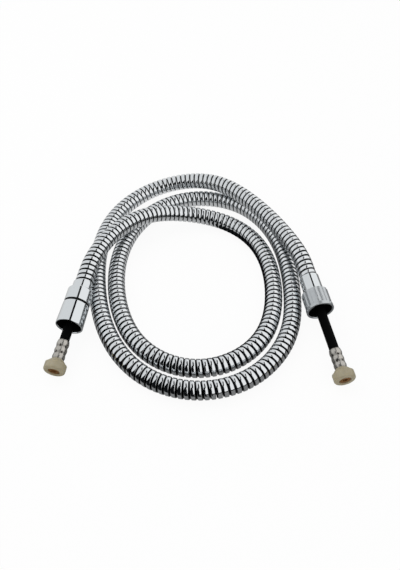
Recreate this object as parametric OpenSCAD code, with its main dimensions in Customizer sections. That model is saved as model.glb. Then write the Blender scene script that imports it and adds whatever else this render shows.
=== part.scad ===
// Flexible shower hose: a ribbed steel casing laid in two and a half loose loops, with a
// swivelling conical nut on the left end, a fluted union nut on the right end, and the black
// inner tube drawn out of both nuts with its crimped ferrules, cores and flanges.
// Millimetres, +Z up. The origin lies on the surface that the hose rests on, at the middle of
// the whole lay. The two end fittings are drawn along +Z and then set on the ends of the hose.

/* [Steel casing] */
// Outside diameter over the ribs
hose_d = 16; // [13:0.1:19.5]
// Number of ribs, one for each turn that shows
rib_count = 200; // [60:10:200]
// Depth of the groove beside each rib
groove_depth = 0.8; // [0.3:0.1:1]
// Part of each rib's length that its sloping band takes
band_share = 0.78; // [0.6:0.01:0.9]
// Wall of the bush in each end of the casing
bush_wall = 0.65; // [0.5:0.05:0.9]
// Length of a bush inside the casing
bush_len = 8; // [5:0.5:12]
// Thickness of a bush's flange, against the end of the casing
bush_flange_t = 1; // [0.8:0.1:1.5]

/* [Inner tube] */
// Outside diameter of the rubber inner tube
tube_d = 8.5; // [7:0.1:10.5]
// Wall of the inner tube
tube_wall = 1.25; // [1:0.05:1.5]
// From the left end of the casing to the ferrule, with the tube drawn out
left_tube_reach = 53; // [45:0.5:70]
// From the right end of the casing to the ferrule, with the tube drawn out
right_tube_reach = 69.5; // [48:0.5:80]

/* [Ferrules] */
// Length of a crimped ferrule
ferrule_len = 18; // [14.5:0.1:21.6]
// Wall of a ferrule
ferrule_wall = 0.55; // [0.4:0.05:0.7]
// Swell of a ferrule between its crimped waists
crimp_swell = 0.25; // [0.1:0.05:0.35]
// Number of crimped waists along a ferrule
crimp_rows = 2; // [1:1:3]
// Dimples round each waist
dimple_count = 6; // [4:1:8]
// Depth of a dimple
dimple_depth = 0.32; // [0.1:0.02:0.4]
// Radius of the punch that makes a dimple
dimple_r = 1.5; // [1:0.1:2]

/* [Cores] */
// Wall of a core's stem
core_wall = 0.35; // [0.3:0.05:0.6]
// Length of a core's barbed stem inside the tube
stem_len = 14; // [10:0.5:17]
// Barbs on a stem
barb_count = 4; // [2:1:6]
// Thickness of a core's head
head_t = 1.1; // [0.8:0.1:1.4]
// Height of the raised lip round the waterway
head_lip = 0.5; // [0.2:0.1:0.6]

/* [Flanges] */
// Thickness of a flange at its rim
flange_rim = 7; // [5:0.1:8.5]
// Length of the cone behind a flange
flange_cone = 4; // [3:0.1:5]
// How far the cone's thick end stays inside the rim
rim_step = 0.6; // [0.3:0.1:1]
// How far the cone's thin end stands over the ferrule
cone_step = 0.28; // [0.1:0.02:0.5]
// Rounding of a flange's front edge
flange_round = 1.6; // [0.5:0.1:2]
// Rounding of a flange's back edge
flange_back_round = 1; // [0.5:0.1:1.2]
// Width of the recess in a flange's face
recess_d = 10.4; // [8.6:0.1:12.5]
// Depth of the recess in a flange's face
recess_depth = 2; // [1.6:0.1:2.5]

/* [Nuts] */
// Bore of both nuts, taken at the middle of a G 1/2 thread
nut_bore_d = 20; // [16.6:0.1:24]
// Chamfer that leads into the thread
thread_lead = 0.7; // [0.4:0.1:1]
// Thickness of a nut's back wall
web = 2.4; // [1.8:0.1:3]
// Wall of the left nut at its mouth
left_nut_wall = 2; // [1.6:0.1:2.6]
// Wall of the left nut at its back
left_nut_back_wall = 1.5; // [1.2:0.1:2.4]
// Length of the left nut
left_nut_len = 21.4; // [17.5:0.1:25.6]
// Rounding of the left nut's lip
lip_round = 0.6; // [0.3:0.1:0.9]
// Wall of the right nut under its front collar
right_nut_wall = 2.2; // [1.8:0.1:2.7]
// Wall of the right nut over its flutes
flute_wall = 1.8; // [1.4:0.1:2.2]
// Length of the right nut
right_nut_len = 18.8; // [15.5:0.1:22.5]
// Length of the right nut's plain front collar
right_collar_len = 3.6; // [2:0.1:5]
// Number of flutes
flute_count = 12; // [8:1:18]
// Depth of a flute
flute_depth = 0.5; // [0.2:0.05:0.7]
// Radius that a flute is cut with
flute_r = 5; // [3:0.5:8]

/* [Sleeves] */
// Wall of a sleeve where it grips the casing
sleeve_wall = 0.75; // [0.5:0.05:1]
// Length of casing that a sleeve grips
sleeve_grip = 6; // [4:0.5:8]
// Back of the left sleeve's collar, from the end of the casing
collar_back = 1.8; // [1:0.1:4]
// Front of the left sleeve's collar, from the end of the casing
collar_front = 15; // [12:0.1:18]
// Rounding of the collar's back edge
collar_round = 1.2; // [0.4:0.1:1.5]
// Width of the black ring between the left collar and nut
swivel_ring_w = 1.8; // [1:0.1:2.4]
// How far the black ring stays inside the collar
swivel_ring_inset = 0.45; // [0.2:0.05:0.8]
// Depth from the bore of the left nut to the spigot that it turns on
spigot_depth = 1.6; // [1.3:0.1:2]
// Back of the right nut, from the end of the casing
right_nut_back = 11; // [9:0.1:14]
// Thickness of the slip ring in the right nut
slip_ring_t = 0.8; // [0.6:0.1:1.2]
// Thickness of the clips that hold the nuts on
clip_t = 1.1; // [0.8:0.1:1.5]
// Depth of the groove that a clip sits in
clip_seat = 0.5; // [0.3:0.05:0.6]
// Gap in a clip, in degrees
clip_split = 30; // [10:5:60]
// How far a clip stands over the hole in the back wall of the right nut
clip_hold = 0.38; // [0.3:0.02:0.5]
// Length of spigot in front of a clip
clip_land = 0.8; // [0.6:0.1:1.4]
// Width of the flat end of a spigot outside the seat
seat_lip = 0.5; // [0.3:0.1:0.8]

/* [Fits] */
// Clearance all round between a nut and what it turns on
running_gap = 0.3; // [0.15:0.05:0.4]
// Clearance between faces that turn against each other
face_gap = 0.25; // [0.15:0.05:0.4]
// Clearance all round of pieces that are pushed into each other
push_gap = 0.12; // [0.08:0.02:0.2]
// Clearance all round the tube in the bushes of the casing
tube_gap = 0.35; // [0.2:0.05:0.5]
// Clearance all round a core's stem in the tube
stem_gap = 0.35; // [0.25:0.05:0.5]
// Clearance all round a core's barbs in the tube
barb_gap = 0.1; // [0.05:0.01:0.2]
// Clearance all round a ferrule in the bore of a sleeve
ferrule_gap = 0.45; // [0.3:0.05:0.6]
// Clearance between a bush and the ferrule of a tube that is pushed home
ferrule_stop_gap = 0.6; // [0.3:0.1:1]
// Clearance all round a flange in the bore of its nut
flange_gap = 0.8; // [0.5:0.05:1.2]
// Clearance all round a clip in the bore of its nut
clip_gap = 0.45; // [0.3:0.05:0.6]
// Gap between a flange that is pushed home and its seat
seat_gap = 0.35; // [0.2:0.05:0.6]

/* [Hidden] */

round_fn = 96;
edge = 0.2;

// The lay of the hose, written for a hose of 16 mm: a thicker hose lies in loops as much wider.
// Ends are where the casing stops inside each sleeve. A heading is the angle in plan between
// the fitting and the -Y direction, positive towards +X.
lay_size = hose_d / 16;
left_end = lay_size * [-104.5, -31, 22];
left_heading = -10.5;
right_end = lay_size * [100.5, -23.5, 22];
right_heading = 11;

// Steering points of the casing between its two straight ends: X, Y and the height of the
// middle of the hose, where 0 stands for a stretch that lies on the surface.
ROUTE = [
    [-83, 41, 27], [-52, 71, 25], [-12, 85, 12], [28, 78, 0], [57, 50, 0], [69, 10, 0],
    [69, -34, 0], [59, -72, 0], [34, -99, 0], [-1, -110, 0], [-36, -99, 0], [-61, -72, 0],
    [-75, -32, 0], [-79, 11, 0], [-73, 50, 0], [-55, 86, 0], [-25, 110, 0], [13, 116, 0],
    [51, 100, 0], [75, 63, 0], [85, 20, 0], [86, -23, 0], [82, -64, 0], [64, -99, 0],
    [35, -123, 0], [-2, -131, 0], [-38, -121, 0], [-66, -96, 0], [-85, -59, 0], [-94, -19, 0],
    [-98, 24, 0], [-94, 65, 0], [-79, 100, 0], [-51, 125, 11], [-14, 131, 19], [22, 119, 26],
    [52, 89, 26], [77, 50, 26]
];

// The underside is cut flat by a tenth of the diameter, so the hose lies on a flat strip.
hose_r = hose_d / 2;
lying_height = hose_r - hose_d / 10;
tube_sides = 8;

// Radii of the pieces that fit into each other, worked outwards from the tube.
tube_r = tube_d / 2;
tube_bore_r = tube_r - tube_wall;
stem_r = tube_bore_r - stem_gap;
barb_r = tube_bore_r - barb_gap;
waterway_r = stem_r - core_wall;
core_neck_r = tube_bore_r;
bush_bore_r = tube_r + tube_gap;
bush_r = bush_bore_r + bush_wall;
casing_bore_r = (bush_r + push_gap) / cos(180 / tube_sides);
casing_wall = hose_r - casing_bore_r;
ferrule_bore_r = tube_r + push_gap;
ferrule_r = ferrule_bore_r + ferrule_wall;
sleeve_bore_r = ferrule_r + crimp_swell + ferrule_gap;

// Radii that follow the casing, and those that follow the bore of the nuts.
grip_r = hose_r + push_gap;
neck_r = grip_r + sleeve_wall;
nut_bore_r = nut_bore_d / 2;
collar_r = nut_bore_r + left_nut_back_wall - edge / 2;
left_spigot_r = nut_bore_r - spigot_depth;
clip_r = nut_bore_r - clip_gap;
right_spigot_r = clip_r - clip_hold - running_gap;
seat_r = min(left_spigot_r, right_spigot_r) - seat_lip;
flange_r = nut_bore_r - flange_gap;
recess_r = recess_d / 2;
cone_r = ferrule_r + cone_step;
cone_top_r = flange_r - rim_step;
cone_slope = (cone_top_r - cone_r) / flange_cone;

// A flange that is pushed home has its cone in the seat at the end of the spigot, and its
// ferrule inside the sleeve. Seat depths are taken back from the end of the spigot.
seat_depth = (seat_r - sleeve_bore_r) / cone_slope;
cone_depth = (seat_r - cone_r) / cone_slope;
spigot_end = bush_flange_t + ferrule_stop_gap + ferrule_len + cone_depth - seat_gap;
home = spigot_end - cone_depth + seat_gap;

// Stations along each fitting's own axis, from the end of the casing outwards.
flange_len = flange_cone + flange_rim;
left_flange_back = left_tube_reach + ferrule_len;
left_nut_back = collar_front + swivel_ring_w + face_gap;
left_web_end = left_nut_back + web;
left_nut_mouth = left_nut_back + left_nut_len;
left_clip_back = left_web_end + face_gap;
left_spigot_end = max(spigot_end, left_clip_back + clip_t + clip_land);
right_flange_back = right_tube_reach + ferrule_len;
right_web_end = right_nut_back + web;
right_nut_mouth = right_nut_back + right_nut_len;
slip_ring_back = right_web_end + face_gap;
right_clip_back = spigot_end - clip_land - clip_t;

// Slope at which the rim of each drawn-out flange just clears the surface.
function droop(end, flange_back) =
    asin((end[2] - flange_r) / (flange_back + flange_len - flange_round));
left_slope = droop(left_end, left_flange_back);
right_slope = droop(right_end, right_flange_back);

// ---------------------------------------------------------------- route of the casing
function backwards(list) = [for (i = [len(list) - 1 : -1 : 0]) list[i]];
function outward(heading, slope) =
    [sin(heading) * cos(slope), -cos(heading) * cos(slope), -sin(slope)];

// The casing leaves each sleeve straight for about one diameter of the hose.
end_reaches = [0, 1.1, 2.2];
function inward_points(end, heading, slope) =
    [for (reach = end_reaches) end - reach * hose_d * outward(heading, slope)];
function laid(p) = [lay_size * p[0], lay_size * p[1], max(lay_size * p[2], lying_height)];

steering = concat(
    inward_points(left_end, left_heading, left_slope),
    [for (p = ROUTE) laid(p)],
    backwards(inward_points(right_end, right_heading, right_slope))
);
last_steer = len(steering) - 1;
control = concat(
    [2 * steering[0] - steering[1]],
    steering,
    [2 * steering[last_steer] - steering[last_steer - 1]]
);

// A point of the smooth curve that the steering points pull after them.
function curve_point(i, t) =
    (pow(1 - t, 3) * control[i]
    + (3 * pow(t, 3) - 6 * t * t + 4) * control[i + 1]
    + (-3 * pow(t, 3) + 3 * t * t + 3 * t + 1) * control[i + 2]
    + pow(t, 3) * control[i + 3]) / 6;

curve_steps = 12;
curve = concat(
    [for (i = [0 : last_steer - 1], k = [0 : curve_steps - 1]) curve_point(i, k / curve_steps)],
    [steering[last_steer]]
);
curve_last = len(curve) - 1;
curve_run = [
    for (
        i = 0, s = 0;
        i <= curve_last;
        s = s + norm(curve[min(i + 1, curve_last)] - curve[i]), i = i + 1
    )
        s
];
casing_len = curve_run[curve_last];
along = [for (axis = [0 : 2]) [for (i = [0 : curve_last]) [curve_run[i], curve[i][axis]]]];

heading_reach = 1.5;
function place_at(s) = [for (axis = [0 : 2]) lookup(s, along[axis])];
function unit(v) = v / norm(v);
function heading_at(s) =
    unit(place_at(min(s + heading_reach, casing_len)) - place_at(max(s - heading_reach, 0)));

// One ring of points round the route, flat side down, never below the surface.
function ring(s, r) =
    let (middle = place_at(s), ahead = heading_at(s), side = unit(cross(ahead, [0, 0, 1])),
        up = cross(side, ahead))
    [for (k = [0 : tube_sides - 1])
        let (a = 360 * (k + 0.5) / tube_sides, p = middle + r * (cos(a) * side + sin(a) * up))
        [p[0], p[1], max(p[2], 0)]];

function skin(rings, first, outwards) = [
    for (j = [0 : rings - 2], k = [0 : tube_sides - 1], half = [0, 1])
        let (
            a = first + j * tube_sides + k,
            b = first + j * tube_sides + (k + 1) % tube_sides,
            c = b + tube_sides,
            d = a + tube_sides,
            three = half == 0 ? [a, b, c] : [a, c, d]
        )
        outwards ? three : backwards(three)
];
function end_face(outer, inner, forwards) = [
    for (k = [0 : tube_sides - 1], half = [0, 1])
        let (
            n = (k + 1) % tube_sides,
            three = half == 0 ? [outer + k, inner + k, inner + n] : [outer + k, inner + n, outer + n]
        )
        forwards ? three : backwards(three)
];

// A tube along the whole route: outer is a list of [station, radius], the bore has its own rings.
module routed_tube(outer, bore_r, bore_rings) {
    bore = [for (i = [0 : bore_rings - 1]) casing_len * i / (bore_rings - 1)];
    points = concat(
        [for (o = outer) each ring(o[0], o[1])],
        [for (s = bore) each ring(s, bore_r)]
    );
    bore_first = len(outer) * tube_sides;
    faces = concat(
        skin(len(outer), 0, true),
        skin(bore_rings, bore_first, false),
        end_face(0, bore_first, true),
        end_face(bore_first - tube_sides, len(points) - tube_sides, false)
    );
    polyhedron(points = points, faces = faces);
}

// ---------------------------------------------------------------- casing and inner tube
rib_pitch = casing_len / (rib_count - 1 + band_share);
groove_r = hose_r - min(groove_depth, casing_wall / 2);
rib_rings = [
    for (i = [0 : rib_count - 1], groove = [0, 1])
        [(i + groove * band_share) * rib_pitch, groove == 0 ? hose_r : groove_r]
];
core_rings = 81;

// Least distance between the middles of stretches that are not neighbours, less the diameter.
check_step = 4;
far_enough = 60;
function least_gap() =
    let (
        n = floor(casing_len / check_step),
        spots = [for (i = [0 : n]) place_at(i * check_step)],
        skip = ceil(far_enough / check_step)
    )
    min([
        for (i = [0 : n - skip])
            min([for (j = [i + skip : n]) norm(spots[i] - spots[j])])
    ]) - hose_d;

module hose_casing() {
    echo("length of the casing, mm", casing_len);
    echo("least gap of the casing to itself, mm", least_gap());
    color("gainsboro") routed_tube(rib_rings, casing_bore_r, core_rings);
}

module inner_tube() {
    stations = [for (i = [0 : core_rings - 1]) [casing_len * i / (core_rings - 1), tube_r]];
    color([0.08, 0.08, 0.09]) routed_tube(stations, tube_bore_r, core_rings);
}

// ---------------------------------------------------------------- pieces that both ends share
module turned(outline, angle = 360) {
    rotate_extrude(angle = angle, $fn = round_fn) polygon(outline);
}

function corner_arc(r_mid, z_mid, r, from, to) =
    [for (i = [0 : 6]) let (a = from + (to - from) * i / 6) [r_mid + r * cos(a), z_mid + r * sin(a)]];

module on_left() {
    translate(left_end) rotate([90 + left_slope, 0, left_heading]) children();
}

module on_right() {
    translate(right_end) rotate([90 + right_slope, 0, right_heading]) children();
}

// Flanged bush that keeps the cut end of the casing round and off the inner tube.
module casing_bush() {
    flange_r = hose_r - groove_depth;
    color("silver") turned([
        [bush_bore_r, -bush_len], [bush_r - edge, -bush_len], [bush_r, -bush_len + 3 * edge],
        [bush_r, 0], [flange_r, 0], [flange_r, bush_flange_t], [bush_bore_r, bush_flange_t]
    ]);
}

// Sleeves: the back end grips the casing, and the front end is a spigot with the groove of the
// clip and the seat of the flange.
function sleeve_back() =
    [[grip_r, -sleeve_grip], [neck_r - edge, -sleeve_grip], [neck_r, -sleeve_grip + edge]];
function sleeve_front(r, clip_back, end) = [
    [r, clip_back - face_gap / 2],
    [r - clip_seat, clip_back - face_gap / 2],
    [r - clip_seat, clip_back + clip_t + face_gap / 2],
    [r, clip_back + clip_t + face_gap / 2],
    [r, end - edge],
    [r - edge, end],
    [seat_r, end],
    [sleeve_bore_r, end - seat_depth],
    [sleeve_bore_r, bush_flange_t],
    [grip_r, bush_flange_t]
];

// Split ring that snaps into the groove of a sleeve.
module snap_clip(spigot_r, back) {
    inner_r = spigot_r - clip_seat + push_gap;
    color("dimgray") turned(
        [[inner_r, back], [clip_r, back], [clip_r, back + clip_t], [inner_r, back + clip_t]],
        360 - clip_split
    );
}

// Rubber tube from the end of the casing to its flange, shown drawn out straight.
module tube_end(reach) {
    color([0.08, 0.08, 0.09]) turned([
        [tube_bore_r, 0], [tube_r, 0], [tube_r, reach], [tube_bore_r, reach]
    ]);
}

// Metal ferrule squeezed on the tube: it swells between crimped waists that carry dimples.
module ferrule(back) {
    steps = 12 * (crimp_rows + 1);
    function skin_r(x) = ferrule_r + crimp_swell * (1 - cos(360 * (crimp_rows + 1) * x)) / 2;
    color("lightgray") difference() {
        turned(concat(
            [[ferrule_bore_r, back + ferrule_len], [ferrule_bore_r, back]],
            [for (i = [0 : steps]) [skin_r(i / steps), back + ferrule_len * i / steps]]
        ));
        for (row = [1 : crimp_rows], k = [0 : dimple_count - 1])
            rotate(360 / dimple_count * (k + (row % 2) / 2))
                translate([
                    ferrule_r + dimple_r - dimple_depth,
                    0,
                    back + ferrule_len * row / (crimp_rows + 1)
                ])
                    sphere(r = dimple_r, $fn = 24);
    }
}

// Core: a barbed stem inside the tube, and a head that holds the flange against the ferrule.
module core(back) {
    barb_pitch = (stem_len - 2) / barb_count;
    barb_top = 0.9;
    head_back = back + flange_len - recess_depth;
    head_front = head_back + head_t;
    head_r = recess_r - push_gap;
    color("peru") turned(concat(
        [[waterway_r, back - stem_len]],
        [for (i = [0 : barb_count - 1], top = [0, 1])
            [top == 0 ? stem_r : barb_r, back - stem_len + barb_pitch * (i + barb_top * top)]],
        [
            [stem_r, back - 2], [stem_r, back + barb_gap], [core_neck_r, back + barb_gap],
            [core_neck_r, head_back], [head_r, head_back], [head_r, head_front - edge],
            [head_r - edge, head_front], [core_neck_r + head_lip, head_front],
            [core_neck_r + edge, head_front + head_lip], [waterway_r, head_front + head_lip]
        ]
    ));
}

// Flange: a moulded washer, coned behind to centre in its seat, with a recess for the core's head.
module flange(back) {
    front = back + flange_len;
    shoulder = back + flange_cone;
    bore_r = core_neck_r + push_gap;
    recess_back = front - recess_depth - push_gap;
    back_round = flange_back_round;
    color([0.78, 0.75, 0.64]) turned(concat(
        [
            [bore_r, back], [bore_r, recess_back], [recess_r, recess_back],
            [recess_r, front - 2 * edge], [recess_r + 2 * edge, front]
        ],
        backwards(corner_arc(flange_r - flange_round, front - flange_round, flange_round, 0, 90)),
        corner_arc(flange_r - back_round, shoulder + back_round, back_round, 0, -50),
        [[cone_top_r, shoulder], [cone_r, back]]
    ));
}

// ---------------------------------------------------------------- left end
module left_sleeve() {
    round_r = min(collar_round, collar_r - neck_r);
    color("whitesmoke") on_left() turned(concat(
        sleeve_back(),
        [[neck_r, collar_back]],
        corner_arc(collar_r - round_r, collar_back + round_r, round_r, -90, 0),
        [
            [collar_r, collar_front - edge], [collar_r - edge, collar_front],
            [left_spigot_r, collar_front]
        ],
        sleeve_front(left_spigot_r, left_clip_back, left_spigot_end)
    ));
}

module left_casing_bush() {
    on_left() casing_bush();
}

// Nylon ring that the nut turns against, seen as the black line between collar and nut.
module left_swivel_ring() {
    inner_r = left_spigot_r + push_gap;
    outer_r = collar_r - swivel_ring_inset;
    front = collar_front + swivel_ring_w;
    color([0.05, 0.05, 0.05]) on_left() turned([
        [inner_r, collar_front], [outer_r, collar_front], [outer_r, front], [inner_r, front]
    ]);
}

module left_clip() {
    on_left() snap_clip(left_spigot_r, left_clip_back);
}

// Conical nut: smooth outside, and a little wider towards its mouth.
module left_nut() {
    hole_r = left_spigot_r + running_gap;
    mouth_r = nut_bore_r + left_nut_wall;
    back_r = nut_bore_r + left_nut_back_wall;
    color("whitesmoke") on_left() turned(concat(
        [[hole_r, left_nut_back], [back_r - edge, left_nut_back], [back_r, left_nut_back + edge]],
        corner_arc(mouth_r - lip_round, left_nut_mouth - lip_round, lip_round, 0, 90),
        [
            [nut_bore_r + thread_lead, left_nut_mouth], [nut_bore_r, left_nut_mouth - thread_lead],
            [nut_bore_r, left_web_end], [hole_r, left_web_end]
        ]
    ));
}

module left_tube_end() {
    on_left() tube_end(left_flange_back);
}

module left_ferrule() {
    on_left() ferrule(left_tube_reach);
}

module left_core() {
    on_left() core(left_flange_back);
}

module left_flange() {
    on_left() flange(left_flange_back);
}

// ---------------------------------------------------------------- right end
module right_sleeve() {
    shoulder = right_nut_back - face_gap;
    color("whitesmoke") on_right() turned(concat(
        sleeve_back(),
        [[neck_r, shoulder], [right_spigot_r, shoulder]],
        sleeve_front(right_spigot_r, right_clip_back, spigot_end)
    ));
}

module right_casing_bush() {
    on_right() casing_bush();
}

// Slippery ring between the nut's back wall and its clip.
module right_slip_ring() {
    inner_r = right_spigot_r + running_gap;
    outer_r = nut_bore_r - push_gap;
    front = slip_ring_back + slip_ring_t;
    color("ivory") on_right() turned([
        [inner_r, slip_ring_back], [outer_r, slip_ring_back], [outer_r, front], [inner_r, front]
    ]);
}

module right_clip() {
    on_right() snap_clip(right_spigot_r, right_clip_back);
}

// Fluted union nut: shallow flutes run from its back to a plain collar at the mouth.
module right_nut() {
    hole_r = right_spigot_r + running_gap;
    front_r = nut_bore_r + right_nut_wall;
    flute_top_r = nut_bore_r + flute_wall;
    collar_edge = right_nut_mouth - right_collar_len;
    soft_edge = 0.5;
    color("whitesmoke") on_right() difference() {
        turned([
            [hole_r, right_nut_back], [flute_top_r - soft_edge, right_nut_back],
            [flute_top_r, right_nut_back + soft_edge], [flute_top_r, collar_edge],
            [front_r, collar_edge + soft_edge], [front_r, right_nut_mouth - soft_edge],
            [front_r - soft_edge, right_nut_mouth], [nut_bore_r + thread_lead, right_nut_mouth],
            [nut_bore_r, right_nut_mouth - thread_lead], [nut_bore_r, right_web_end],
            [hole_r, right_web_end]
        ]);
        for (k = [0 : flute_count - 1])
            rotate(360 / flute_count * k)
                translate([flute_top_r + flute_r - flute_depth, 0, right_nut_back - 1])
                    cylinder(r = flute_r, h = collar_edge - right_nut_back + 1, $fn = 48);
    }
}

module right_tube_end() {
    on_right() tube_end(right_flange_back);
}

module right_ferrule() {
    on_right() ferrule(right_tube_reach);
}

module right_core() {
    on_right() core(right_flange_back);
}

module right_flange() {
    on_right() flange(right_flange_back);
}

hose_casing();
inner_tube();
left_sleeve();
left_casing_bush();
left_swivel_ring();
left_clip();
left_nut();
left_tube_end();
left_ferrule();
left_core();
left_flange();
right_sleeve();
right_casing_bush();
right_slip_ring();
right_clip();
right_nut();
right_tube_end();
right_ferrule();
right_core();
right_flange();
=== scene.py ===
# %% [markdown]
# # A shower hose, drawn out at both ends
# The hose is a strip of chromed stainless steel that is folded and wound into a flexible casing.
# A black rubber tube runs inside it, and here the tube is pulled out of both nuts, so that its
# crimped ferrules, brass cores and moulded flanges show. This lesson builds the hose on its route,
# turns the fittings on a lathe in code, gives each piece the finish that the real one has, with
# shade painted into its grooves and bores, and lights it all on a white table, with painted
# reflections for the chrome.
# Everything is in metres and in one frame with the CAD model, so each piece is made where it lies.

# %% Start from the fixed frame
from math import asin, atan2, cos, pi, radians, sin, tan

import bmesh
import bpy
from mathutils import Matrix, Vector


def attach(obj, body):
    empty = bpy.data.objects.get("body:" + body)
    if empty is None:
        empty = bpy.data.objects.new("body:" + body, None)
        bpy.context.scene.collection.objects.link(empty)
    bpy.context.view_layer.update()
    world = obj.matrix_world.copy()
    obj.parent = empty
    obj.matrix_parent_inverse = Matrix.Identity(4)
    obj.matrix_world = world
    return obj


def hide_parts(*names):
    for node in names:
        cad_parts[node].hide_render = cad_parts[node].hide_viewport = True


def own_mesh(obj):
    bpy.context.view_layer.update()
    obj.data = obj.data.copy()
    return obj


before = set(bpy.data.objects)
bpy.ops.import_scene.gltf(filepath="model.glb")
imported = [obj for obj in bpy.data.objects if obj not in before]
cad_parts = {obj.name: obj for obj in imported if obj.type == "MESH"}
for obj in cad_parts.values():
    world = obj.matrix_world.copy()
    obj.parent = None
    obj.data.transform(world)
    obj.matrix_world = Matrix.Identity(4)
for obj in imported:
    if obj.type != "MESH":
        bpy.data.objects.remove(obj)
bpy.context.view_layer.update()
MM = 0.001


# %% [markdown]
# ## The camera
# A camera on a tripod, a little over half a metre away, looks down on the table from the front.
# The frame is 400 by 570 pixels, so the lens is worked out for the long side, which is what
# Blender's sensor width stands for.

# %% Camera
TARGET = Vector((1, -12, 8)) * MM
ELEVATION = radians(47)
TO_CAMERA = Vector((0, -cos(ELEVATION), sin(ELEVATION)))
DISTANCE = 600 * MM
NEAREST_SEEN = 10 * MM
SENSOR_WIDTH = 36
FOCAL_PIXELS = 648
LONG_SIDE = 570


def put(name, data):
    """A new object in the scene, which shows a mesh, a curve, a lamp or a camera."""
    made = bpy.data.objects.new(name, data)
    bpy.context.scene.collection.objects.link(made)
    return made


camera_data = bpy.data.cameras.new("studio_camera")
camera_data.sensor_width = SENSOR_WIDTH
camera_data.lens = FOCAL_PIXELS * SENSOR_WIDTH / LONG_SIDE
camera_data.clip_start = NEAREST_SEEN
camera = put("studio_camera", camera_data)
camera.location = TARGET + DISTANCE * TO_CAMERA
camera.rotation_euler = (pi / 2 - ELEVATION, 0, 0)
bpy.context.scene.camera = camera
print("camera at", tuple(round(x, 3) for x in camera.location), "lens", round(camera_data.lens, 2))

# %% [markdown]
# ## Where the hose lies
# A hose of this kind is stiff: it lies in wide, loose loops and climbs over itself in long, low
# humps. Its route could be a Bezier curve with handles, but there a kink or a flat spot is soon
# made. Here it is a B-spline: a few dozen steering points pull the curve after them,
# and its bend changes smoothly everywhere. The points are those of the CAD model. A height of 0
# stands for a stretch that lies on the table, and there the middle of the hose is one radius up.
# At each end the hose leaves its sleeve straight, in line with the fitting.

# %% Route of the hose
HOSE_R = 8.0
LEFT_END, LEFT_HEADING, LEFT_SLOPE = Vector((-104.5, -31, 22)), radians(-10.5), radians(9.160695)
RIGHT_END, RIGHT_HEADING, RIGHT_SLOPE = Vector((100.5, -23.5, 22)), radians(11), radians(7.590668)
ROUTE = [
    (-83, 41, 27), (-52, 71, 25), (-12, 85, 12), (28, 78, 0), (57, 50, 0), (69, 10, 0),
    (69, -34, 0), (59, -72, 0), (34, -99, 0), (-1, -110, 0), (-36, -99, 0), (-61, -72, 0),
    (-75, -32, 0), (-79, 11, 0), (-73, 50, 0), (-55, 86, 0), (-25, 110, 0), (13, 116, 0),
    (51, 100, 0), (75, 63, 0), (85, 20, 0), (86, -23, 0), (82, -64, 0), (64, -99, 0),
    (35, -123, 0), (-2, -131, 0), (-38, -121, 0), (-66, -96, 0), (-85, -59, 0), (-94, -19, 0),
    (-98, 24, 0), (-94, 65, 0), (-79, 100, 0), (-51, 125, 11), (-14, 131, 19), (22, 119, 26),
    (52, 89, 26), (77, 50, 26),
]
STRAIGHT_REACHES = (0, 1.1, 2.2)
CURVE_STEPS = 12


def outwards(heading, slope):
    """Direction in which a fitting points, away from the hose."""
    return Vector((sin(heading) * cos(slope), -cos(heading) * cos(slope), -sin(slope)))


LEFT_WAY, RIGHT_WAY = outwards(LEFT_HEADING, LEFT_SLOPE), outwards(RIGHT_HEADING, RIGHT_SLOPE)


def smooth_route():
    """Points of the uniform cubic B-spline through which the hose runs, in millimetres."""
    steer = [LEFT_END - reach * 2 * HOSE_R * LEFT_WAY for reach in STRAIGHT_REACHES]
    steer += [Vector((x, y, max(z, HOSE_R))) for x, y, z in ROUTE]
    steer += [RIGHT_END - reach * 2 * HOSE_R * RIGHT_WAY for reach in reversed(STRAIGHT_REACHES)]
    pull = [2 * steer[0] - steer[1], *steer, 2 * steer[-1] - steer[-2]]
    points = []
    for i in range(len(steer) - 1):
        for t in (k / CURVE_STEPS for k in range(CURVE_STEPS)):
            weights = (
                (1 - t) ** 3, 3 * t**3 - 6 * t * t + 4, -3 * t**3 + 3 * t * t + 3 * t + 1, t**3
            )
            points.append(sum((w * p for w, p in zip(weights, pull[i:i + 4])), Vector()) / 6)
    return [*points, steer[-1]]


route = smooth_route()
casing_length = sum((b - a).length for a, b in zip(route, route[1:]))
print("casing length, mm:", round(casing_length, 2), "from", len(route), "points")

# %% [markdown]
# ## Helpers for Geometry Nodes and for meshes
# One small function adds a node with its settings and its links, for shapes and for materials
# alike. Another one runs a tree on a curve, sets the tree's inputs by their sockets' identifiers,
# and keeps the result as a plain mesh, because the finished piece should not depend on a live
# modifier.

# %% Node helpers
def main_output(node):
    """The output of a node that is in use: some nodes have one for each kind of data."""
    return next(socket for socket in node.outputs if socket.enabled)


def add_node(tree, kind, inputs=None, **settings):
    """A new node with its settings. An input is a value, a socket, or a node that is linked."""
    node = tree.nodes.new(kind)
    for name, value in settings.items():
        setattr(node, name, value)
    for key, value in (inputs or {}).items():
        if isinstance(value, bpy.types.Node):
            value = main_output(value)
        if isinstance(value, bpy.types.NodeSocket):
            tree.links.new(value, node.inputs[key])
        else:
            node.inputs[key].default_value = value
    return node


# %% Curve and mesh helpers
def line_curve(name, points, closed=False):
    """A curve object of straight steps through points in millimetres."""
    data = bpy.data.curves.new(name, "CURVE")
    data.dimensions = "3D"
    spline = data.splines.new("POLY")
    spline.points.add(len(points) - 1)
    for point, place in zip(spline.points, points):
        point.co = (*(Vector(place).to_3d() * MM), 1)
    spline.use_cyclic_u = closed
    return put(name, data)


def plain_mesh(name, source):
    """What an object shows, with its modifiers applied, as a plain mesh object."""
    ready = source.evaluated_get(bpy.context.evaluated_depsgraph_get())
    made = put(name, bpy.data.meshes.new_from_object(ready))
    made.data.name = name
    bpy.data.objects.remove(source)
    return made


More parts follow.
